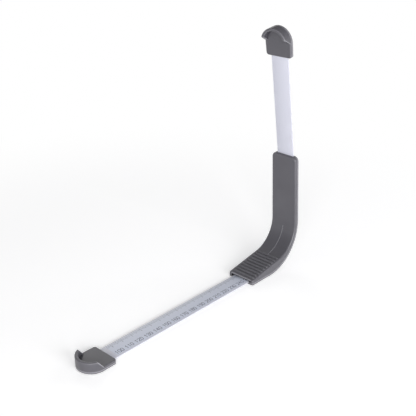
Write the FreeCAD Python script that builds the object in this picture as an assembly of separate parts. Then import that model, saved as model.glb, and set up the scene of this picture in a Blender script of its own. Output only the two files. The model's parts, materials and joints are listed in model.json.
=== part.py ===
import FreeCAD, Part
import os
from math import sin, cos, tan, radians

# Shoe and foot length gauge. A flexible ruler strip runs through a bent heel guide: its sole run lies
# flat and ends in a hooded toe stop, its upright run rises out of the guide and ends in the same
# moulding used as a handle. Millimetres; +X points to the heel, +Z up, Y across, symmetric about Y = 0.
# The origin is the middle of the guide's flat underside, on the surface the gauge stands on.

V = FreeCAD.Vector

# ruler strip
strip_width = 17.6
strip_thickness = 0.7
reading_at_rest = 245.8        # toe tip to the back of the heel, as the strip is set
exposed_strip_length = 90.9    # strip showing between the guide's top and the handle
strip_lean = 8.7               # degrees, the strip's own curl carries it further over than the guide

# heel guide
foot_flat_length = 24.7        # flat underside, from the mouth to the start of the bend
foot_thickness = 4.8           # at the mouth
foot_rise = 10.5               # degrees, the foot's top climbs towards the heel
strip_bend_radius = 37.8       # middle of the strip as it turns up behind the heel
seat_bend_radius = 26.5        # the hollow the heel sits in
upright_lean = 3.5             # degrees past square, towards the toe
sleeve_length = 62.9           # straight upright sleeve above the bend
guide_width_bottom = 27.6
guide_width_top = 26.3
back_wall = 1.1                # back shell, between the channel and the outside
front_wall_upright = 2.4       # front shell, the same on the upright
nose_radius = 1.8              # rounded front of the foot above the mouth
top_corner_radius = 4.2
seat_edge_radius = 1.3         # round the hollow and the front of the foot
back_edge_radius = 0.8         # round the back and underside

# channel the strip runs in
channel_face_gap = 0.3         # each side of the strip's thickness
channel_side_gap = 0.3         # each side of the strip's width
mouth_width = 22.3             # open pocket over the strip, under the lip where the scale is read
mouth_rise = 1.6               # height of the pocket above the channel
mouth_depth = 1.5
outlet_depth = 1.5             # flared front of the outlet, where the strip starts to lean
outlet_rise = 0.15

# ribs on the foot and the centre line on the bend
rib_count = 10
rib_pitch = 3.78
rib_radius = 1.05
rib_stand = 1.0                # how far a rib stands out
first_rib_setback = 3.9        # from the front of the foot, along its top
rib_end_margin = 1.3           # from a rib's end to the side of the guide
rib_tip_radius = 0.45          # where a rib has tapered off
line_width = 0.7
line_stand = 0.25
line_gap = 0.4                 # from the last rib to the line
line_top_height = 34.0

# shell fasteners
screw_shank_radius = 0.9
screw_head_radius = 1.55
screw_head_depth = 0.65
screw_recess = 0.15            # head below the surface
screw_radial_gap = 0.02
guide_screw_length = 4.6
end_screw_length = 3.4
cross_slot_length = 1.9
cross_slot_width = 0.35
cross_slot_depth = 0.45
guide_screw_inset = 6.0        # from each end of the flat underside
post_radius = 0.8
post_length = 1.1
post_radial_gap = 0.05
post_end_gap = 0.2
post_setback = 9.0             # from each end of the sleeve

# toe stop and handle, one moulding used twice
end_width = 26.2               # across the round end
end_rear_width = 25.6          # across the edge the strip comes out of
end_straight = 12.7            # from that edge to the start of the round end
end_cap_thickness = 2.2        # above the middle of the strip
end_corner_radius = 2.4
end_edge_radius = 0.9
end_base_chamfer = 0.6         # round the underside
hood_height = 6.0
hood_thickness = 2.5
hood_end_run = 4.5             # length over which the hood's ends slope down to the plate
hood_rim_radius = 0.9
pocket_gap = 0.05              # round the strip in its pocket
strip_grip = 11.5              # strip held inside a moulding
peg_radius = 1.3
peg_radial_gap = 0.1
peg_setback = 6.0              # from the moulding's rear edge
peg_spacing = 9.0
peg_socket_depth = 0.75
end_screw_setback = 17.6
end_screw_spacing = 11.0

# worked out
half_strip = strip_thickness / 2
channel_half = half_strip + channel_face_gap
channel_width = strip_width + 2 * channel_side_gap
strip_height = back_wall + channel_half
front_offset = front_wall_upright + channel_half
mouth_x = -foot_flat_length / 2
bend_x = foot_flat_length / 2
lean = radians(upright_lean)
down = V(0, 0, -1)
up = V(-sin(lean), 0, cos(lean))             # along the sleeve, away from the bend
inward = V(-cos(lean), 0, -sin(lean))        # square to the sleeve, towards the toe
bend_centre = V(bend_x, 0, strip_height + strip_bend_radius)
sleeve_foot = bend_centre - inward * strip_bend_radius
sleeve_top = sleeve_foot + up * sleeve_length
heel_x = bend_x + strip_bend_radius + strip_height
toe_tip_x = heel_x - reading_at_rest
end_radius = end_width / 2
toe_rear_x = toe_tip_x + end_straight + end_radius
strip_up = V(-sin(radians(strip_lean)), 0, cos(radians(strip_lean)))
outlet_foot = sleeve_top - up * outlet_depth
handle_rear = outlet_foot + strip_up * (outlet_depth + exposed_strip_length)
overrun = 6.0                                # how far cutting shapes reach past what they cut
cut_reach = strip_bend_radius / 2
tolerance = 0.01

# the seat: a straight climb over the foot, then an arc that touches it and the sleeve's front
foot_front = V(mouth_x, 0, foot_thickness)
foot_way = V(cos(radians(foot_rise)), 0, sin(radians(foot_rise)))
foot_normal = V(-foot_way.z, 0, foot_way.x)
hollow_centre = sleeve_foot + inward * (front_offset + seat_bend_radius)
hollow_centre += up * ((seat_bend_radius - (hollow_centre - foot_front).dot(foot_normal)) / up.dot(foot_normal))
nose_centre = V(mouth_x + nose_radius, 0,
                foot_thickness - nose_radius * (1 - foot_way.z) / foot_way.x)


def line(start, end):
    return Part.LineSegment(start, end).toShape()


def arc(centre, radius, start_way, end_way):
    """Arc between two directions seen from its centre."""
    middle_way = (start_way + end_way).normalize()
    return Part.Arc(centre + start_way * radius, centre + middle_way * radius,
                    centre + end_way * radius).toShape()


def wire_of(edges):
    return Part.Wire(Part.__sortEdges__(edges))


def strip_path(offset, ahead, height):
    """Edges that follow the strip's middle at an offset, from ahead of the mouth to a height up the sleeve."""
    radius = strip_bend_radius - offset
    turn_start = bend_centre + down * radius
    return [line(V(mouth_x - ahead, 0, turn_start.z), turn_start),
            arc(bend_centre, radius, down, -inward),
            line(bend_centre - inward * radius, sleeve_foot + inward * offset + up * height)]


def seat_path(rise=0.0):
    """Edges over the foot, round the hollow and up the sleeve's front, standing off the seat by a rise."""
    radius = seat_bend_radius - rise
    return [line(nose_centre + foot_normal * (nose_radius + rise), hollow_centre - foot_normal * radius),
            arc(hollow_centre, radius, -foot_normal, -inward),
            line(hollow_centre - inward * radius, sleeve_top + inward * (front_offset + rise))]


def path_ends(path):
    """First and last point of a path's edges."""
    points = wire_of(path).OrderedVertexes
    ends = sorted((points[0].Point, points[-1].Point), key=lambda point: point.z)
    return ends[0], ends[1]


def across(face, width):
    """Extrude a face drawn in the XZ plane to a width centred on Y = 0."""
    face.translate(V(0, -width / 2, 0))
    return face.extrude(V(0, width, 0))


def outline(points):
    return Part.Face(Part.makePolygon(points + points[:1]))


def band(outer, inner, width):
    """Solid between two paths."""
    joins = [line(a, b) for a, b in zip(path_ends(outer), path_ends(inner))]
    return across(Part.Face(wire_of(outer + inner + joins)), width)


def shell_band(outer_offset, inner_offset, width):
    """Solid that follows the strip, between two offsets from its middle."""
    paths = [strip_path(offset, overrun, sleeve_length + overrun) for offset in (outer_offset, inner_offset)]
    return band(paths[0], paths[1], width)


def guide_half_width(z):
    narrowing = (guide_width_bottom - guide_width_top) * z / sleeve_top.z
    return (guide_width_bottom - narrowing) / 2


def pick_edges(shape, test):
    """Edges of which every sampled point passes a test."""
    return [edge for edge in shape.Edges if all(test(point) for point in edge.discretize(5))]


def at_side(point):
    return abs(abs(point.y) - guide_half_width(point.z)) < tolerance


def at_top(point):
    return abs((point - sleeve_top).dot(up)) < tolerance


def at_nose(point):
    in_nose = point.x < mouth_x + nose_radius + tolerance and point.z < foot_thickness + nose_radius
    return at_side(point) and in_nose


def rim_edges(shape, path):
    """Edges round the border of the face that follows a path."""
    surface = across(wire_of(path), guide_width_bottom + overrun)
    found = []
    for edge in pick_edges(shape, lambda point: surface.distToShape(Part.Vertex(point))[0] < tolerance):
        first, last = edge.discretize(2)
        seam = abs(first.y + last.y) < tolerance and abs(first.x - last.x) < tolerance
        if not seam or at_top(first):
            found.append(edge)
    return found


def guide_form():
    """Outside form of the two guide shells together."""
    back = strip_path(-strip_height, 0, sleeve_length)
    seat = seat_path()
    nose_low = V(mouth_x, 0, nose_centre.z)
    low, back_top = path_ends(back)
    form = across(Part.Face(wire_of(back + seat + [
        line(back_top, path_ends(seat)[1]), arc(nose_centre, nose_radius, V(-1, 0, 0), foot_normal),
        line(nose_low, low)])), guide_width_bottom + overrun)

    # the sides come in a little towards the top
    reach_z = back_top.z + overrun
    low_half = guide_half_width(-overrun)
    high_half = guide_half_width(reach_z)
    sides = outline([V(0, -low_half, -overrun), V(0, low_half, -overrun),
                     V(0, high_half, reach_z), V(0, -high_half, reach_z)])
    sides.translate(V(mouth_x - overrun, 0, 0))
    form = form.common(sides.extrude(V(heel_x - mouth_x + 2 * overrun, 0, 0)))

    form = form.makeFillet(top_corner_radius, pick_edges(form, lambda p: at_side(p) and at_top(p)))
    form = form.makeFillet(seat_edge_radius, rim_edges(form, seat) + pick_edges(form, at_nose))
    return form.makeFillet(back_edge_radius, rim_edges(form, back))


def place_at(shape, position, direction):
    """Move a shape made about +Z from the origin to a place, along a direction."""
    moved = shape.copy()
    moved.Placement = FreeCAD.Placement(position, FreeCAD.Rotation(V(0, 0, 1), direction))
    return moved


def screw(length):
    """Countersunk blunt-ended self-tapping screw: head at the origin, shank along +Z."""
    head = Part.makeCone(screw_head_radius, screw_shank_radius, screw_head_depth)
    solid = head.fuse(Part.makeCylinder(screw_shank_radius, length))
    for size_x, size_y in ((cross_slot_length, cross_slot_width), (cross_slot_width, cross_slot_length)):
        slot = Part.makeBox(size_x, size_y, cross_slot_depth, V(-size_x / 2, -size_y / 2, 0))
        solid = solid.cut(slot)
    return solid


def screw_hole(length):
    """Room for a screw and its recess, from the surface."""
    head_radius = screw_head_radius + screw_radial_gap
    shank_radius = screw_shank_radius + screw_radial_gap
    recess = Part.makeCylinder(head_radius, screw_recess)
    seat = Part.makeCone(head_radius, shank_radius, screw_head_depth, V(0, 0, screw_recess))
    shank = Part.makeCylinder(shank_radius, length + 2 * screw_recess)
    return recess.fuse([seat, shank])


def guide_screw_places():
    inset_x = foot_flat_length / 2 - guide_screw_inset
    side_y = (channel_width / 2 + guide_width_bottom / 2 - back_edge_radius) / 2
    return [V(x, y, 0) for x in (-inset_x, inset_x) for y in (-side_y, side_y)]


def post_places():
    side_y = (channel_width / 2 + guide_width_top / 2) / 2
    heights = (post_setback, sleeve_length - post_setback)
    return [sleeve_foot + up * height + V(0, y, 0) for height in heights for y in (-side_y, side_y)]


def rib_middle(index):
    setback = first_rib_setback + index * rib_pitch
    return foot_front + foot_way * setback - foot_normal * (rib_radius - rib_stand)


def rib(centre):
    """Half-round rib lying across the foot, tapering off at its ends."""
    half = guide_width_bottom / 2 - rib_end_margin - rib_radius
    bar = Part.makeCylinder(rib_radius, 2 * half, centre - V(0, half, 0), V(0, 1, 0))
    ends = [Part.makeCone(rib_radius, rib_tip_radius, rib_radius, centre + V(0, side * half, 0), V(0, side, 0))
            for side in (-1, 1)]
    return bar.fuse(ends)


def centre_line():
    """Fine raised line up the middle of the hollow, for setting the heel straight."""
    start_x = rib_middle(rib_count - 1).x + rib_radius + line_gap
    line_band = band(seat_path(line_stand), seat_path(-line_stand), line_width)
    return line_band.common(Part.makeBox(heel_x - start_x, line_width, line_top_height,
                                         V(start_x, -line_width / 2, 0)))


def mouth_pocket():
    """Open pocket over the strip at the mouth, roofed by the front lip of the foot."""
    roof = strip_height + channel_half + mouth_rise
    return across(outline([V(mouth_x - overrun, 0, strip_height), V(mouth_x - overrun, 0, roof),
                           V(mouth_x + mouth_depth, 0, roof), V(mouth_x + mouth_depth, 0, strip_height)]),
                  mouth_width)


def outlet_flare():
    """Room in front of the strip at the outlet, where it starts to lean over."""
    high = sleeve_top + inward * (channel_half + outlet_rise)
    return across(outline([outlet_foot, outlet_foot + inward * channel_half, high, high + up * overrun,
                           sleeve_top + up * overrun]), channel_width)


def make_guide():
    form = guide_form()
    channel = shell_band(-channel_half, channel_half, channel_width)
    holes = [place_at(screw_hole(guide_screw_length), place, V(0, 0, 1)) for place in guide_screw_places()]

    front = form.common(shell_band(0, cut_reach, guide_width_bottom + overrun))
    front = front.cut([channel, mouth_pocket(), outlet_flare()] + holes)
    posts = [Part.makeCylinder(post_radius, post_length + post_length, place + inward * post_length, -inward)
             for place in post_places()]
    ribs = [rib(rib_middle(index)) for index in range(rib_count)]
    front = front.fuse(ribs + [centre_line()] + posts).removeSplitter()

    back = form.common(shell_band(-cut_reach, 0, guide_width_bottom + overrun))
    sockets = [Part.makeCylinder(post_radius + post_radial_gap, post_length + post_end_gap, place, -inward)
               for place in post_places()]
    back = back.cut([channel] + holes + sockets)

    seat = V(0, 0, screw_recess)
    screws = [place_at(screw(guide_screw_length), place + seat, V(0, 0, 1)) for place in guide_screw_places()]
    return front, back, Part.makeCompound(screws)


def end_plate(low, high):
    """Flat plate with one round end, from the rear edge at X = 0."""
    rear_half = end_rear_width / 2
    corners = [V(end_straight, end_radius, low), V(0, rear_half, low),
               V(0, -rear_half, low), V(end_straight, -end_radius, low)]
    edges = [line(a, b) for a, b in zip(corners, corners[1:])]
    edges.append(Part.Arc(corners[3], V(end_straight + end_radius, 0, low), corners[0]).toShape())
    plate = Part.Face(Part.Wire(edges)).extrude(V(0, 0, high - low))
    return plate.makeFillet(end_corner_radius, pick_edges(plate, lambda p: p.x < tolerance
                                                          and abs(abs(p.y) - rear_half) < tolerance))


def hood():
    """Curved wall round the plate's round end, its ends sloping down to the plate."""
    root = end_cap_thickness - end_edge_radius - tolerance
    top = end_cap_thickness + hood_height
    centre = V(end_straight, 0, root)
    wall = Part.makeCylinder(end_radius, top - root, centre)
    wall = wall.cut(Part.makeCylinder(end_radius - hood_thickness, top - root, centre))
    far = end_straight + end_radius + overrun
    wall = wall.common(across(outline([V(end_straight, 0, root), V(end_straight, 0, end_cap_thickness),
                                       V(end_straight + hood_end_run, 0, top), V(far, 0, top),
                                       V(far, 0, root)]), 2 * end_width))
    return wall.makeFillet(hood_rim_radius, pick_edges(wall, lambda p: p.z > top - tolerance))


def peg_places():
    return [V(peg_setback, y, 0) for y in (-peg_spacing / 2, peg_spacing / 2)]


def end_screw_places():
    return [V(end_screw_setback, y, -strip_height) for y in (-end_screw_spacing / 2, end_screw_spacing / 2)]


def plate_rim(plate, level):
    """Edges round one face of the plate, apart from the edge the strip comes out of."""
    return pick_edges(plate, lambda p: abs(p.z - level) < tolerance and p.x > tolerance)


def make_end():
    """Cap, base and screws of the moulding that grips an end of the strip, in its own frame:
    X along the strip and away from it, Z out of the face with the hood, the strip's middle at Z = 0."""
    whole = end_plate(-strip_height, end_cap_thickness)
    whole = whole.makeFillet(end_edge_radius, plate_rim(whole, end_cap_thickness))
    whole = whole.makeChamfer(end_base_chamfer, plate_rim(whole, -strip_height))
    whole = whole.fuse(hood()).removeSplitter()

    pocket_half = half_strip + pocket_gap
    pocket_width = strip_width + 2 * pocket_gap
    pocket = Part.makeBox(strip_grip + pocket_gap + overrun, pocket_width, 2 * pocket_half,
                          V(-overrun, -pocket_width / 2, -pocket_half))
    holes = [place_at(screw_hole(end_screw_length), place, V(0, 0, 1)) for place in end_screw_places()]
    size = 2 * end_width
    upper = Part.makeBox(2 * size, 2 * size, size, V(-size, -size, 0))
    lower = Part.makeBox(2 * size, 2 * size, size, V(-size, -size, -size))

    peg_length = pocket_half + peg_socket_depth
    pegs = [Part.makeCylinder(peg_radius, pocket_half + peg_length, place + V(0, 0, -peg_length))
            for place in peg_places()]
    cap = whole.common(upper).cut([pocket] + holes).fuse(pegs).removeSplitter()

    sockets = [Part.makeCylinder(peg_radius + peg_radial_gap, peg_length + post_end_gap,
                                 place + V(0, 0, -peg_length - post_end_gap)) for place in peg_places()]
    base = whole.common(lower).cut([pocket] + holes + sockets)

    seat = V(0, 0, screw_recess)
    screws = [place_at(screw(end_screw_length), place + seat, V(0, 0, 1)) for place in end_screw_places()]
    return cap, base, Part.makeCompound(screws)


def strip_run(length, start_angle=0.0):
    """Straight run of strip in the end moulding's frame, with the two holes the pegs pass through."""
    skew = half_strip * tan(radians(start_angle))
    run = across(outline([V(-length + skew, 0, half_strip), V(-length - skew, 0, -half_strip),
                          V(strip_grip, 0, -half_strip), V(strip_grip, 0, half_strip)]), strip_width)
    holes = [Part.makeCylinder(peg_radius + peg_radial_gap, strip_thickness, place - V(0, 0, half_strip))
             for place in peg_places()]
    return run.cut(holes)


def strip_bend():
    """The stretch of strip round the guide's bend and up its sleeve."""
    paths = [strip_path(offset, 0, sleeve_length - outlet_depth)[1:] for offset in (-half_strip, half_strip)]
    return band(paths[0], paths[1], strip_width)


toe_place = FreeCAD.Placement(V(toe_rear_x, 0, strip_height), FreeCAD.Rotation(V(0, 0, 1), 180))
handle_place = FreeCAD.Placement(handle_rear, FreeCAD.Rotation(V(0, 1, 0), -90 - strip_lean))


def placed(shape, place):
    moved = shape.copy()
    moved.Placement = place.multiply(moved.Placement)
    return moved


guide_front, guide_back, guide_screws = make_guide()
end_cap, end_base, end_screws = make_end()

parts = {
    "guide_front_shell": guide_front,
    "guide_back_shell": guide_back,
    "guide_screws": guide_screws,
    "strip_bend_run": strip_bend(),
    "strip_sole_run": placed(strip_run(bend_x - toe_rear_x), toe_place),
    "strip_upright_run": placed(strip_run(outlet_depth + exposed_strip_length, strip_lean - upright_lean),
                                handle_place),
    "toe_stop_cap": placed(end_cap, toe_place),
    "toe_stop_base": placed(end_base, toe_place),
    "toe_stop_screws": placed(end_screws, toe_place),
    "handle_cap": placed(end_cap, handle_place),
    "handle_back": placed(end_base, handle_place),
    "handle_screws": placed(end_screws, handle_place),
}

os.makedirs("parts", exist_ok=True)
for node, shape in parts.items():
    shape.exportStep("parts/" + node + ".step")
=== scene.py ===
import bpy
import bmesh
import json
from math import radians, sin, cos
from mathutils import Vector, Matrix

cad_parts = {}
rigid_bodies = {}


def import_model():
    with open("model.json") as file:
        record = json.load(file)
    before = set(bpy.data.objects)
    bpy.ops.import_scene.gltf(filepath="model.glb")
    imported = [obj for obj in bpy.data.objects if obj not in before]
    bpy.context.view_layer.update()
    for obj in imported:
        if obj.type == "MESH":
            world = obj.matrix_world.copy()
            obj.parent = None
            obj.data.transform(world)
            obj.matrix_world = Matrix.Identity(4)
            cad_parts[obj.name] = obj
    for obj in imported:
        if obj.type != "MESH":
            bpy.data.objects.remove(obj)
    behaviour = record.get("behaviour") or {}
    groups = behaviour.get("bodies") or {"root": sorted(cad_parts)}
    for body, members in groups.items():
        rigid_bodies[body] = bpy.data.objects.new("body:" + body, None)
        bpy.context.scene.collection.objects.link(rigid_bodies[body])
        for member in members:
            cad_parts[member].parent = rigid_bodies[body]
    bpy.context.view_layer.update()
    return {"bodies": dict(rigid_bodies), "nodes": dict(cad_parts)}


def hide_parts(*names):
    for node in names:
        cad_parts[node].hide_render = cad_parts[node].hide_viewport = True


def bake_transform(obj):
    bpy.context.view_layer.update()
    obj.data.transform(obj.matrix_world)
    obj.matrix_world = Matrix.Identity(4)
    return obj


# Shoe and foot length gauge: a flexible ruler strip, a bent heel guide, a toe stop and a handle.
# Metres and radians; +X points to the heel, +Z up. The print on the strip is set out in millimetres.
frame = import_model()
print("frame loaded:", len(frame["nodes"]), "nodes")

millimetre = 0.001


def linearColour(hexText):
    # sRGB hex to the linear colour that a shader takes
    channels = [int(hexText[i:i + 2], 16) / 255 for i in (1, 3, 5)]
    linear = [c / 12.92 if c <= 0.04045 else ((c + 0.055) / 1.055) ** 2.4 for c in channels]
    return (*linear, 1.0)


def addNode(tree, kind, settings=None, links=None):
    # one node: settings are its own options or its sockets' values, links are what feeds its sockets
    node = tree.nodes.new("ShaderNode" + kind)
    for key, value in (settings or {}).items():
        if isinstance(key, str) and hasattr(node, key):
            setattr(node, key, value)
        else:
            node.inputs[key].default_value = value
    for key, source in (links or {}).items():
        tree.links.new(source, node.inputs[key])
    return node


def newMaterial(name):
    material = bpy.data.materials.new(name)
    material.use_nodes = True
    material.node_tree.nodes.clear()
    return material, material.node_tree


def dress(names, material):
    for name in names:
        for slot in frame["nodes"][name].material_slots:
            slot.material = material


# Where the strip runs, which every piece is set out from.

strip = {
    "width": 0.0176,
    "thickness": 0.0007,
    "edgeRadius": 0.0003,
    "edgeSteps": 3,           # facets round each long edge's corner
    "height": 0.00175,        # middle of the strip above the floor
    "bendX": 0.01235,         # where the sole run enters the guide's bend
    "toeEndX": -0.1796,       # its end inside the toe stop
    "uprightLean": radians(8.7),
    "outlet": Vector((0.04633, 0, 0.10314)),  # where it comes out of the guide
    "uprightLength": 0.1039,  # from there to its end inside the handle
    "divisions": 160,         # along each run
    "creaseAngle": radians(40),
}

upDirection = Vector((-sin(strip["uprightLean"]), 0, cos(strip["uprightLean"])))
inwardDirection = Vector((-cos(strip["uprightLean"]), 0, -sin(strip["uprightLean"])))
outletReach = inwardDirection.dot(strip["outlet"])

# Grey plastic of the guide, toe stop and handle.

greyAbs = {
    "colour": "#55545a",
    "darkColour": "#4f4e54",
    "ior": 1.54,
    "roughness": 0.38,
    "roughnessSpread": 0.05,
    "grainSize": 0.0004,      # mould grain: about 0.05 mm on the real one, drawn at 0.4 mm to show
    "grainHeight": 0.000012,
    "flowSize": 0.022,        # slow colour drift from the way the melt filled the mould
    "flowRange": (0.3, 0.7),  # part of the noise that goes from the dark colour to the other
    # paler colour on rims and rib crests: a painted highlight
    "paintedHighlightColour": "#87868c",
    "edgeRoughness": 0.32,
    "edgeReach": 0.0009,      # how far in from a corner the mask reaches that wears the grain smooth and paints a highlight
    "edgeBacking": (0.98, 0.62),  # share of plastic behind it where the wear and the painted highlight start and where they are full
    # painted shade in hollows: colour, reach, how open it is where the painted shade starts and where it
    # is full
    "paintedShadeHollows": [
        ("#2e2d31", 0.0018, 0.7, 0.25),  # painted shade in the grooves
        ("#121113", 0.004, 0.42, 0.3),   # painted shade in deep slots, such as the one over the strip
    ],
    "samples": 12,            # rays that feel for corners and hollows
}

# how the broad flat faces lie, under which screw and peg holes end
housing = {
    "plateRise": 0.0022,      # faces of the two end plates over the middle of the strip
    "mouthWallX": -0.01085,   # back of the slot over the strip
    "sleeveLean": radians(3.5),
    "sleeveBack": 0.05429,    # back of the sleeve, out along its own lean
    "tolerance": 0.00004,
    # the ribs' tapered ends, as middle and reach either side of it along each axis, mirrored
    "ribEnds": {"X": (0.0, 0.032), "Y": (0.012, 0.0007), "Z": (0.0, 0.03)},
}

# the same faces, as the way each one faces and how far out it is: these get neither wear nor painted
# highlight
flatFaces = [
    ((0, 0, 1), 0.0),
    ((0, 0, 1), strip["height"] + housing["plateRise"]),
    (tuple(inwardDirection), outletReach + housing["plateRise"]),
    (tuple(-inwardDirection), strip["height"] - outletReach),
    ((-1, 0, 0), -housing["mouthWallX"]),
    ((cos(housing["sleeveLean"]), 0, sin(housing["sleeveLean"])), housing["sleeveBack"]),
]


def wearAndPaintedHighlightEdges(tree, place):
    # 1 on rims and rib crests, 0 on faces: where the grain is worn smooth and a paler colour paints a
    #                                       highlight
    within = addNode(tree, "AmbientOcclusion",
                     {"inside": True, "only_local": True, "samples": greyAbs["samples"],
                      "Distance": greyAbs["edgeReach"]})
    start, full = greyAbs["edgeBacking"]
    wearAndPaintedHighlight = addNode(tree, "MapRange", {"From Min": start, "From Max": full},
                     {"Value": within.outputs["AO"]}).outputs["Result"]
    for facing, distance in flatFaces:
        out = addNode(tree, "VectorMath", {"operation": "DOT_PRODUCT", 1: facing},
                      {0: place}).outputs["Value"]
        onFace = addNode(tree, "Math", {"operation": "COMPARE", 1: distance, 2: housing["tolerance"]},
                         {0: out}).outputs[0]
        wearAndPaintedHighlight = addNode(tree, "Math", {"operation": "SUBTRACT", "use_clamp": True},
                         {0: wearAndPaintedHighlight, 1: onFace}).outputs[0]

    # no wear and no painted highlight on the ribs' tapered ends
    mirrored = addNode(tree, "VectorMath", {"operation": "ABSOLUTE"}, {0: place}).outputs[0]
    mirrored = addNode(tree, "SeparateXYZ", {}, {0: mirrored})
    atRibEnd = None
    for axis, (middle, reach) in housing["ribEnds"].items():
        near = addNode(tree, "Math", {"operation": "COMPARE", 1: middle, 2: reach},
                       {0: mirrored.outputs[axis]}).outputs[0]
        if atRibEnd is None:
            atRibEnd = near
        else:
            atRibEnd = addNode(tree, "Math", {"operation": "MULTIPLY"},
                               {0: atRibEnd, 1: near}).outputs[0]
    return addNode(tree, "Math", {"operation": "SUBTRACT", "use_clamp": True},
                   {0: wearAndPaintedHighlight, 1: atRibEnd}).outputs[0]


def mouldedAbs():
    # ABS moulded in a spark-eroded tool: satin, a fine even grain that breaks up the highlights;
    # rims and rib crests are rubbed smoother and get a paler colour as a painted highlight;
    # grooves and deep slots get a darker colour as painted shade
    material, tree = newMaterial("mouldedGreyAbs")
    place = addNode(tree, "TexCoord").outputs["Object"]
    flow = addNode(tree, "TexNoise", {"Scale": 1 / greyAbs["flowSize"], "Detail": 2.0},
                   {"Vector": place})
    grain = addNode(tree, "TexNoise",
                    {"Scale": 1 / greyAbs["grainSize"], "Detail": 1.5, "Roughness": 0.55},
                    {"Vector": place})
    start, full = greyAbs["flowRange"]
    drift = addNode(tree, "MapRange", {"From Min": start, "From Max": full},
                    {"Value": flow.outputs["Fac"]})
    colour = addNode(tree, "Mix", {"data_type": "RGBA", 6: linearColour(greyAbs["darkColour"]),
                                   7: linearColour(greyAbs["colour"])},
                     {0: drift.outputs["Result"]}).outputs[2]
    wearAndPaintedHighlight = wearAndPaintedHighlightEdges(tree, place)
    # painted highlight: a paler colour on rims and rib crests
    colour = addNode(tree, "Mix", {"data_type": "RGBA", 7: linearColour(greyAbs["paintedHighlightColour"])},
                     {0: wearAndPaintedHighlight, 6: colour}).outputs[2]
    # painted shade: a darker colour where ambient occlusion finds grooves and slots
    for tint, reach, start, full in greyAbs["paintedShadeHollows"]:
        around = addNode(tree, "AmbientOcclusion", {"samples": greyAbs["samples"], "Distance": reach})
        depth = addNode(tree, "MapRange", {"From Min": start, "From Max": full},
                        {"Value": around.outputs["AO"]})
        colour = addNode(tree, "Mix", {"data_type": "RGBA", 7: linearColour(tint)},
                         {0: depth.outputs["Result"], 6: colour}).outputs[2]
    gloss = addNode(tree, "Mix", {"data_type": "FLOAT", 2: greyAbs["roughness"],
                                  3: greyAbs["edgeRoughness"]}, {0: wearAndPaintedHighlight}).outputs[0]
    spread = addNode(tree, "MapRange", {"To Min": -greyAbs["roughnessSpread"],
                                        "To Max": greyAbs["roughnessSpread"]},
                     {"Value": grain.outputs["Fac"]})
    gloss = addNode(tree, "Math", {"operation": "ADD"},
                    {0: gloss, 1: spread.outputs["Result"]}).outputs[0]
    relief = addNode(tree, "Bump", {"Strength": 1.0, "Distance": greyAbs["grainHeight"]},
                     {"Height": grain.outputs["Fac"]})
    shader = addNode(tree, "BsdfPrincipled", {"IOR": greyAbs["ior"]},
                     {"Base Color": colour, "Roughness": gloss, "Normal": relief.outputs["Normal"]})
    addNode(tree, "OutputMaterial", {}, {"Surface": shader.outputs["BSDF"]})
    return material


dress(("guide_front_shell", "guide_back_shell", "toe_stop_cap", "toe_stop_base",
       "handle_cap", "handle_back"), mouldedAbs())
print("grey plastic done")

# Screws.

screwSteel = {
    "colour": "#a2a4a9",
    "roughness": 0.42,
    "roughnessSpread": 0.06,
    "markSize": 0.0002,       # tool marks on the heads, finer on the real ones, drawn at 0.2 mm to show
    "markHeight": 0.000004,
}


def platedSteel():
    # zinc-plated steel, turned heads: dull bright-grey metal with faint tool marks
    material, tree = newMaterial("zincPlatedSteel")
    place = addNode(tree, "TexCoord").outputs["Object"]
    marks = addNode(tree, "TexNoise", {"Scale": 1 / screwSteel["markSize"], "Detail": 2.0},
                    {"Vector": place})
    relief = addNode(tree, "Bump", {"Strength": 1.0, "Distance": screwSteel["markHeight"]},
                     {"Height": marks.outputs["Fac"]})
    gloss = addNode(tree, "MapRange",
                    {"To Min": screwSteel["roughness"] - screwSteel["roughnessSpread"],
                     "To Max": screwSteel["roughness"] + screwSteel["roughnessSpread"]},
                    {"Value": marks.outputs["Fac"]})
    shader = addNode(tree, "BsdfPrincipled",
                     {"Metallic": 1.0, "Base Color": linearColour(screwSteel["colour"])},
                     {"Roughness": gloss.outputs["Result"], "Normal": relief.outputs["Normal"]})
    addNode(tree, "OutputMaterial", {}, {"Surface": shader.outputs["BSDF"]})
    return material


dress(("guide_screws", "toe_stop_screws", "handle_screws"), platedSteel())
print("screws done")

# Ruler strip.

pvc = {
    "colour": "#cbccd8",
    "bandColour": "#cfd4e3",  # pale blue ground printed under the scale
    "inkColour": "#3a3c55",
    "ior": 1.52,
    "roughness": 0.36,
    "roughnessSpread": 0.05,
    "grainSize": 0.0006,      # faint grain from the rollers, drawn at 0.6 mm to show
    "grainHeight": 0.000004,
}

# the print, in mm
scale = {
    "readingAtOrigin": 258.15,  # on the sole run, where X is 0
    "readingAtOutlet": 393.6,   # the same, along the strip to where it leaves the guide
    "firstLabel": 100,
    "lastLabel": 330,
    "labelPitch": 10.0,
    "labelY": -4.0,           # middle of the row of numbers
    "digitWidth": 1.9,
    "digitHeight": 3.5,
    "digitPitch": 2.7,
    "strokeWidth": 0.42,
    "tickTop": 6.9,           # outer end of every tick
    "tickLengths": {1: 2.3, 5: 3.0, 10: 3.9},
    "tickWidths": {1: 0.16, 5: 0.22, 10: 0.28},
    "marginWidth": 1.5,       # left bare along each edge
    "overrun": 4.5,           # of the ground beyond the first and the last label
    "strokeBlur": 0.05,
    "tickBlur": 0.04,
    "bandBlur": 0.15,
    "farOff": 20.0,           # further than any stroke: no ink
}

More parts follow.
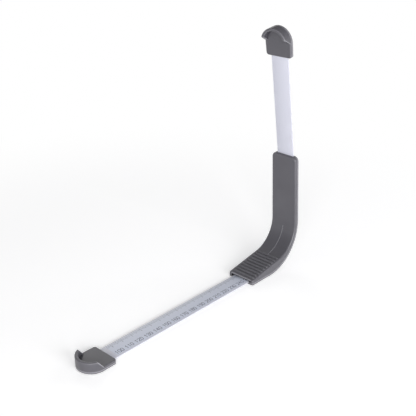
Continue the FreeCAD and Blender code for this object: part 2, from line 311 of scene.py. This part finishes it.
# strokes of the numbers, in a cell one wide and one high, with the digits that have each stroke
digitStrokes = [
    ((0.25, 1.0), (0.75, 1.0), "023689"), ((0.0, 0.84), (0.25, 1.0), "023689"),
    ((0.75, 1.0), (1.0, 0.84), "023689"), ((0.0, 0.84), (0.0, 0.68), "0689"),
    ((1.0, 0.84), (1.0, 0.68), "02389"), ((0.0, 0.68), (0.22, 0.53), "89"),
    ((1.0, 0.68), (0.78, 0.53), "38"), ((0.22, 0.53), (0.78, 0.53), "3689"),
    ((0.22, 0.53), (0.0, 0.37), "8"), ((0.78, 0.53), (1.0, 0.37), "3568"),
    ((0.0, 0.68), (0.0, 0.16), "06"), ((1.0, 0.68), (1.0, 0.37), "09"),
    ((0.0, 0.37), (0.0, 0.16), "8"), ((1.0, 0.37), (1.0, 0.16), "035689"),
    ((0.0, 0.16), (0.25, 0.0), "035689"), ((1.0, 0.16), (0.75, 0.0), "035689"),
    ((0.25, 0.0), (0.75, 0.0), "035689"), ((1.0, 0.68), (0.0, 0.0), "2"),
    ((0.0, 0.0), (1.0, 0.0), "2"), ((0.0, 1.0), (1.0, 1.0), "57"),
    ((1.0, 1.0), (0.35, 0.0), "7"), ((0.55, 0.0), (0.55, 1.0), "1"),
    ((0.55, 1.0), (0.2, 0.78), "1"), ((0.72, 0.0), (0.72, 1.0), "4"),
    ((0.72, 1.0), (0.0, 0.3), "4"), ((0.0, 0.3), (1.0, 0.3), "4"),
    ((0.0, 1.0), (0.0, 0.53), "5"), ((0.0, 0.53), (0.78, 0.53), "5"),
]
digitCount = 10


def inkedNumbers(tree, reading, across):
    # distance, in mm, from the nearest stroke of the number printed at this reading
    pitch = scale["labelPitch"]
    ahead = addNode(tree, "Math", {"operation": "ADD", 1: pitch / 2}, {0: reading}).outputs[0]
    cell = addNode(tree, "Math", {"operation": "DIVIDE", 1: pitch}, {0: ahead}).outputs[0]
    tens = addNode(tree, "Math", {"operation": "FLOOR"}, {0: cell}).outputs[0]  # label without its last 0
    hundreds = addNode(tree, "Math", {"operation": "DIVIDE", 1: 10.0}, {0: tens}).outputs[0]
    hundreds = addNode(tree, "Math", {"operation": "FLOOR"}, {0: hundreds}).outputs[0]
    tensDigit = addNode(tree, "Math", {"operation": "MULTIPLY_ADD", 1: -10.0},
                        {0: hundreds, 2: tens}).outputs[0]
    inCell = addNode(tree, "Math", {"operation": "MULTIPLY_ADD", 1: -pitch},
                     {0: tens, 2: reading}).outputs[0]

    # which of the three digits, counted from the middle one, and the place inside it
    column = addNode(tree, "Math", {"operation": "DIVIDE", 1: scale["digitPitch"]},
                     {0: inCell}).outputs[0]
    column = addNode(tree, "Math", {"operation": "ROUND"}, {0: column}).outputs[0]
    inColumn = addNode(tree, "Math", {"operation": "MULTIPLY_ADD", 1: -scale["digitPitch"]},
                       {0: column, 2: inCell}).outputs[0]
    left = addNode(tree, "Math", {"operation": "ADD", 1: scale["digitWidth"] / 2},
                   {0: inColumn}).outputs[0]
    low = addNode(tree, "Math", {"operation": "SUBTRACT",
                                 1: scale["labelY"] - scale["digitHeight"] / 2},
                  {0: across}).outputs[0]
    point = addNode(tree, "CombineXYZ", {}, {"X": left, "Y": low}).outputs[0]

    # the digit there; the last one is always 0
    isFirst = addNode(tree, "Math", {"operation": "COMPARE", 1: -1.0, 2: 0.5}, {0: column}).outputs[0]
    isMiddle = addNode(tree, "Math", {"operation": "COMPARE", 1: 0.0, 2: 0.5}, {0: column}).outputs[0]
    first = addNode(tree, "Math", {"operation": "MULTIPLY"}, {0: isFirst, 1: hundreds}).outputs[0]
    middle = addNode(tree, "Math", {"operation": "MULTIPLY"}, {0: isMiddle, 1: tensDigit}).outputs[0]
    digit = addNode(tree, "Math", {"operation": "ADD"}, {0: first, 1: middle}).outputs[0]
    rampPlace = addNode(tree, "Math", {"operation": "MULTIPLY_ADD", 1: 1 / digitCount,
                                       2: 0.5 / digitCount}, {0: digit}).outputs[0]

    nearest = None
    for start, end, digits in digitStrokes:
        foot = Vector((start[0] * scale["digitWidth"], start[1] * scale["digitHeight"], 0))
        head = Vector((end[0] * scale["digitWidth"], end[1] * scale["digitHeight"], 0))
        stroke = head - foot
        fromFoot = addNode(tree, "VectorMath", {"operation": "SUBTRACT", 1: foot},
                           {0: point}).outputs[0]
        share = addNode(tree, "VectorMath",
                        {"operation": "DOT_PRODUCT", 1: stroke / stroke.length_squared},
                        {0: fromFoot}).outputs["Value"]
        share = addNode(tree, "Math", {"operation": "ADD", "use_clamp": True, 1: 0.0},
                        {0: share}).outputs[0]
        onStroke = addNode(tree, "VectorMath", {"operation": "SCALE", 0: stroke},
                           {"Scale": share}).outputs[0]
        distance = addNode(tree, "VectorMath", {"operation": "DISTANCE"},
                           {0: fromFoot, 1: onStroke}).outputs["Value"]
        lacking = addNode(tree, "ValToRGB", {}, {"Fac": rampPlace})
        lacking.color_ramp.interpolation = "CONSTANT"
        stops = lacking.color_ramp.elements
        for index in range(digitCount):
            stop = stops[index] if index < 2 else stops.new(index / digitCount)
            stop.position = index / digitCount
            tone = 0.0 if str(index) in digits else 1.0
            stop.color = (tone, tone, tone, 1)
        distance = addNode(tree, "Math", {"operation": "MULTIPLY_ADD", 1: scale["farOff"]},
                           {0: lacking.outputs["Color"], 2: distance}).outputs[0]
        if nearest is None:
            nearest = distance
        else:
            nearest = addNode(tree, "Math", {"operation": "MINIMUM"},
                              {0: nearest, 1: distance}).outputs[0]

    # nothing beside the three digits
    beside = addNode(tree, "Math", {"operation": "ABSOLUTE"}, {0: column}).outputs[0]
    beside = addNode(tree, "Math", {"operation": "GREATER_THAN", 1: 1.5}, {0: beside}).outputs[0]
    return addNode(tree, "Math", {"operation": "MULTIPLY_ADD", 1: scale["farOff"]},
                   {0: beside, 2: nearest}).outputs[0]


def printedScale(tree, reading, across):
    # 0 on bare plastic, 1 on ink
    number = inkedNumbers(tree, reading, across)
    half = scale["strokeWidth"] / 2
    ink = addNode(tree, "MapRange", {"From Min": half + scale["strokeBlur"],
                                     "From Max": half - scale["strokeBlur"]},
                  {"Value": number}).outputs["Result"]
    for step, length in scale["tickLengths"].items():
        near = addNode(tree, "Math", {"operation": "PINGPONG", 1: step / 2}, {0: reading}).outputs[0]
        half = scale["tickWidths"][step] / 2
        line = addNode(tree, "MapRange", {"From Min": half + scale["tickBlur"],
                                          "From Max": half - scale["tickBlur"]},
                       {"Value": near}).outputs["Result"]
        middle = scale["tickTop"] - length / 2
        reach = addNode(tree, "Math", {"operation": "COMPARE", 1: middle, 2: length / 2},
                        {0: across}).outputs[0]
        tick = addNode(tree, "Math", {"operation": "MULTIPLY"}, {0: line, 1: reach}).outputs[0]
        ink = addNode(tree, "Math", {"operation": "MAXIMUM"}, {0: ink, 1: tick}).outputs[0]
    return ink


def rulerPvc(name, body, direction, origin, readingAtOrigin):
    # calendered white PVC tape, screen printed: smooth, faintly glossy, ink lies flat in it;
    # the print is measured from the body that the end of the strip is held in, so it never stretches
    material, tree = newMaterial(name)
    carried = addNode(tree, "TexCoord")
    carried.object = frame["bodies"][body]
    place = carried.outputs["Object"]
    fromOrigin = addNode(tree, "VectorMath", {"operation": "SUBTRACT", 1: origin},
                         {0: place}).outputs[0]
    along = addNode(tree, "VectorMath", {"operation": "DOT_PRODUCT", 1: direction / millimetre},
                    {0: fromOrigin}).outputs["Value"]
    reading = addNode(tree, "Math", {"operation": "ADD", 1: readingAtOrigin}, {0: along}).outputs[0]
    split = addNode(tree, "SeparateXYZ", {}, {0: place})
    across = addNode(tree, "Math", {"operation": "MULTIPLY", 1: 1 / millimetre},
                     {0: split.outputs["Y"]}).outputs[0]

    # the printed band, between the margins and from before the first label to after the last
    fromMiddle = addNode(tree, "Math", {"operation": "ABSOLUTE"}, {0: across}).outputs[0]
    inner = strip["width"] / 2 / millimetre - scale["marginWidth"]
    inside = addNode(tree, "MapRange", {"From Min": inner + scale["bandBlur"],
                                        "From Max": inner - scale["bandBlur"]},
                     {"Value": fromMiddle}).outputs["Result"]
    middle = (scale["firstLabel"] + scale["lastLabel"]) / 2
    half = (scale["lastLabel"] - scale["firstLabel"]) / 2 + scale["overrun"]
    onScale = addNode(tree, "Math", {"operation": "COMPARE", 1: middle, 2: half},
                      {0: reading}).outputs[0]
    band = addNode(tree, "Math", {"operation": "MULTIPLY"}, {0: inside, 1: onScale}).outputs[0]
    base = addNode(tree, "Mix", {"data_type": "RGBA", 6: linearColour(pvc["colour"]),
                                 7: linearColour(pvc["bandColour"])}, {0: band}).outputs[2]
    ink = addNode(tree, "Math", {"operation": "MULTIPLY"},
                  {0: printedScale(tree, reading, across), 1: band}).outputs[0]
    colour = addNode(tree, "Mix", {"data_type": "RGBA", 7: linearColour(pvc["inkColour"])},
                     {0: ink, 6: base}).outputs[2]

    grain = addNode(tree, "TexNoise", {"Scale": 1 / pvc["grainSize"], "Detail": 1.0},
                    {"Vector": place})
    relief = addNode(tree, "Bump", {"Strength": 1.0, "Distance": pvc["grainHeight"]},
                     {"Height": grain.outputs["Fac"]})
    gloss = addNode(tree, "MapRange", {"To Min": pvc["roughness"] - pvc["roughnessSpread"],
                                       "To Max": pvc["roughness"] + pvc["roughnessSpread"]},
                    {"Value": grain.outputs["Fac"]})
    shader = addNode(tree, "BsdfPrincipled", {"IOR": pvc["ior"]},
                     {"Base Color": colour, "Roughness": gloss.outputs["Result"],
                      "Normal": relief.outputs["Normal"]})
    addNode(tree, "OutputMaterial", {}, {"Surface": shader.outputs["BSDF"]})
    return material


def stripMesh(name, start, direction, normal, length):
    # a flat run of strip with rounded edges, divided finely along its length
    mesh = bpy.data.meshes.new(name)
    piece = bpy.data.objects.new(name, mesh)
    bpy.context.scene.collection.objects.link(piece)
    side = Vector((0, 1, 0))
    radius = strip["edgeRadius"]
    flatY = strip["width"] / 2 - radius
    flatZ = strip["thickness"] / 2 - radius
    outline = []
    for corner, (signY, signZ) in enumerate(((1, 1), (-1, 1), (-1, -1), (1, -1))):
        for step in range(strip["edgeSteps"] + 1):
            angle = radians(90 * corner + 90 / strip["edgeSteps"] * step)
            outline.append((signY * flatY + radius * cos(angle), signZ * flatZ + radius * sin(angle)))
    build = bmesh.new()
    rings = []
    for index in range(strip["divisions"] + 1):
        centre = start + direction * (length * index / strip["divisions"])
        rings.append([build.verts.new(centre + side * y + normal * z) for y, z in outline])
    for low, high in zip(rings, rings[1:]):
        for index in range(len(outline)):
            after = (index + 1) % len(outline)
            build.faces.new((low[index], low[after], high[after], high[index]))
    build.faces.new(list(reversed(rings[0])))
    build.faces.new(rings[-1])
    bmesh.ops.recalc_face_normals(build, faces=build.faces)
    build.to_mesh(mesh)
    build.free()
    for polygon in mesh.polygons:
        polygon.use_smooth = True
    mesh.set_sharp_from_angle(angle=strip["creaseAngle"])
    return piece


soleStart = Vector((strip["bendX"], 0, strip["height"]))
soleRun = stripMesh("printed_sole_run", soleStart, Vector((-1, 0, 0)), Vector((0, 0, 1)),
                    strip["bendX"] - strip["toeEndX"])
soleRun.data.materials.append(rulerPvc("printedPvcTapeSole", "toe_stop", Vector((1, 0, 0)),
                                       Vector((0, 0, 0)), scale["readingAtOrigin"]))
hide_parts("strip_sole_run")
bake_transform(soleRun)

uprightRun = stripMesh("printed_upright_run", strip["outlet"], upDirection, inwardDirection,
                       strip["uprightLength"])
uprightTape = rulerPvc("printedPvcTapeUpright", "handle", upDirection, strip["outlet"],
                       scale["readingAtOutlet"])
uprightRun.data.materials.append(uprightTape)
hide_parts("strip_upright_run")
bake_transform(uprightRun)

dress(("strip_bend_run",), uprightTape)
print("strip done")

# Floor, light and camera.

studio = {
    "floorColour": "#f6f6f7",
    "floorSize": 8.0,
    "fibreSize": 0.004,       # paper fibres, drawn at 4 mm to show
    "fibreHeight": 0.00002,
    "fibreStrength": 0.2,
    "floorLift": 0.37,        # brings the sheet round the object up to white where it is seen
    "middle": (-0.07, 0, 0),
    "nearRadius": 0.2,        # the sheet begins to turn into backdrop here
    "farRadius": 0.5,         # and is all backdrop from here on
    "backdropTop": 0.2,       # sine of the angle that the backdrop reaches up to
    "backdropFade": 0.15,     # and how far it fades either side of that
    "backdropLevel": 0.45,    # light that the backdrop gives
    "roomLevel": 0.22,        # light that the room above it gives
    "lamps": {                # watts, metres across, place
        "right": (15.0, 0.8, (-0.3, -1.35, 0.35)),
        "front": (13.0, 0.7, (-1.1, -0.85, 0.36)),
        "back_left": (4.5, 0.8, (0.6, 1.2, 0.6)),
        "back": (5.0, 0.8, (1.3, -0.2, 0.4)),
    },
    "lampAim": Vector((-0.05, 0, 0.06)),
}
white = (1, 1, 1, 1)


def paperFloor():
    # matt white paper sheet: even, barely fibrous, white where it is seen and keeps soft shadows
    material, tree = newMaterial("whitePaperSheet")
    place = addNode(tree, "TexCoord").outputs["Object"]
    fibres = addNode(tree, "TexNoise", {"Scale": 1 / studio["fibreSize"], "Detail": 3.0},
                     {"Vector": place})
    relief = addNode(tree, "Bump", {"Strength": studio["fibreStrength"],
                                    "Distance": studio["fibreHeight"]},
                     {"Height": fibres.outputs["Fac"]})
    paper = addNode(tree, "BsdfDiffuse", {"Color": linearColour(studio["floorColour"])},
                    {"Normal": relief.outputs["Normal"]})

    # seen by the camera, in gloss or through something clear
    path = addNode(tree, "LightPath")
    seen = addNode(tree, "Math", {"operation": "MAXIMUM"},
                   {0: path.outputs["Is Camera Ray"], 1: path.outputs["Is Glossy Ray"]}).outputs[0]
    seen = addNode(tree, "Math", {"operation": "MAXIMUM"},
                   {0: seen, 1: path.outputs["Is Transmission Ray"]}).outputs[0]
    lift = addNode(tree, "Math", {"operation": "MULTIPLY", 1: studio["floorLift"]},
                   {0: seen}).outputs[0]
    glow = addNode(tree, "Emission", {"Color": white}, {"Strength": lift})
    near = addNode(tree, "AddShader", {}, {0: paper.outputs[0], 1: glow.outputs[0]})

    backdrop = addNode(tree, "Emission", {"Color": white, "Strength": 1.0})
    distance = addNode(tree, "VectorMath", {"operation": "DISTANCE", 1: studio["middle"]},
                       {0: place}).outputs["Value"]
    far = addNode(tree, "MapRange", {"interpolation_type": "SMOOTHSTEP",
                                     "From Min": studio["nearRadius"],
                                     "From Max": studio["farRadius"]},
                  {"Value": distance}).outputs["Result"]
    share = addNode(tree, "Math", {"operation": "MULTIPLY"}, {0: far, 1: seen}).outputs[0]
    whole = addNode(tree, "MixShader", {}, {0: share, 1: near.outputs[0], 2: backdrop.outputs[0]})
    addNode(tree, "OutputMaterial", {}, {"Surface": whole.outputs[0]})
    return material


floorMesh = bpy.data.meshes.new("studio_floor")
floorEdge = studio["floorSize"] / 2
floorMesh.from_pydata([(-floorEdge, -floorEdge, 0), (floorEdge, -floorEdge, 0),
                       (floorEdge, floorEdge, 0), (-floorEdge, floorEdge, 0)], [], [(0, 1, 2, 3)])
floor = bpy.data.objects.new("studio_floor", floorMesh)
bpy.context.scene.collection.objects.link(floor)
floorMesh.materials.append(paperFloor())

# pale room, brighter round the horizon than overhead; the camera sees all of it white, gloss only
# as high as the backdrop reaches
world = bpy.data.worlds.new("studioWorld")
bpy.context.scene.world = world
world.use_nodes = True
room = world.node_tree
room.nodes.clear()
skyPlace = addNode(room, "SeparateXYZ", {}, {0: addNode(room, "TexCoord").outputs["Generated"]})
low = addNode(room, "MapRange", {"interpolation_type": "SMOOTHSTEP",
                                 "From Min": studio["backdropTop"] + studio["backdropFade"],
                                 "From Max": studio["backdropTop"] - studio["backdropFade"]},
              {"Value": skyPlace.outputs["Z"]}).outputs["Result"]
level = addNode(room, "Mix", {"data_type": "FLOAT", 2: studio["roomLevel"],
                              3: studio["backdropLevel"]}, {0: low}).outputs[0]
skyPath = addNode(room, "LightPath")
inGloss = addNode(room, "Math", {"operation": "MULTIPLY"},
                  {0: skyPath.outputs["Is Glossy Ray"], 1: low}).outputs[0]
seen = addNode(room, "Math", {"operation": "MAXIMUM"},
               {0: skyPath.outputs["Is Camera Ray"],
                1: skyPath.outputs["Is Transmission Ray"]}).outputs[0]
seen = addNode(room, "Math", {"operation": "MAXIMUM"}, {0: seen, 1: inGloss}).outputs[0]
level = addNode(room, "Mix", {"data_type": "FLOAT", 3: 1.0}, {0: seen, 2: level}).outputs[0]
sky = addNode(room, "Background", {"Color": white}, {"Strength": level})
addNode(room, "OutputWorld", {}, {"Surface": sky.outputs[0]})

for name, (power, size, place) in studio["lamps"].items():
    light = bpy.data.lights.new(name + "_light", "AREA")
    light.energy = power
    light.size = size
    lamp = bpy.data.objects.new(name + "_light", light)
    lamp.location = place
    lamp.rotation_euler = (studio["lampAim"] - lamp.location).to_track_quat("-Z", "Y").to_euler()
    bpy.context.scene.collection.objects.link(lamp)

view = {
    "place": (-0.46089, -0.37789, 0.33904),
    "yaw": radians(42.96),    # from +X towards +Y
    "dip": radians(24.55),
    "roll": radians(-0.03),
    "lens": 65.25,            # mm, on a square sensor
    "sensor": 36.0,
    "nearest": 0.01,
    "furthest": 50.0,
}
yaw, dip, roll = view["yaw"], view["dip"], view["roll"]
forward = Vector((cos(yaw) * cos(dip), sin(yaw) * cos(dip), -sin(dip)))
right = Vector((sin(yaw), -cos(yaw), 0))
above = right.cross(forward)
axes = Matrix((right * cos(roll) + above * sin(roll), above * cos(roll) - right * sin(roll),
               -forward)).transposed()
cameraData = bpy.data.cameras.new("studio_camera")
cameraData.lens = view["lens"]
cameraData.sensor_width = view["sensor"]
cameraData.clip_start = view["nearest"]
cameraData.clip_end = view["furthest"]
camera = bpy.data.objects.new("studio_camera", cameraData)
camera.matrix_world = Matrix.Translation(view["place"]) @ axes.to_4x4()
bpy.context.scene.collection.objects.link(camera)
bpy.context.scene.camera = camera
bpy.context.scene.view_settings.view_transform = "Standard"
print("floor, light and camera done")
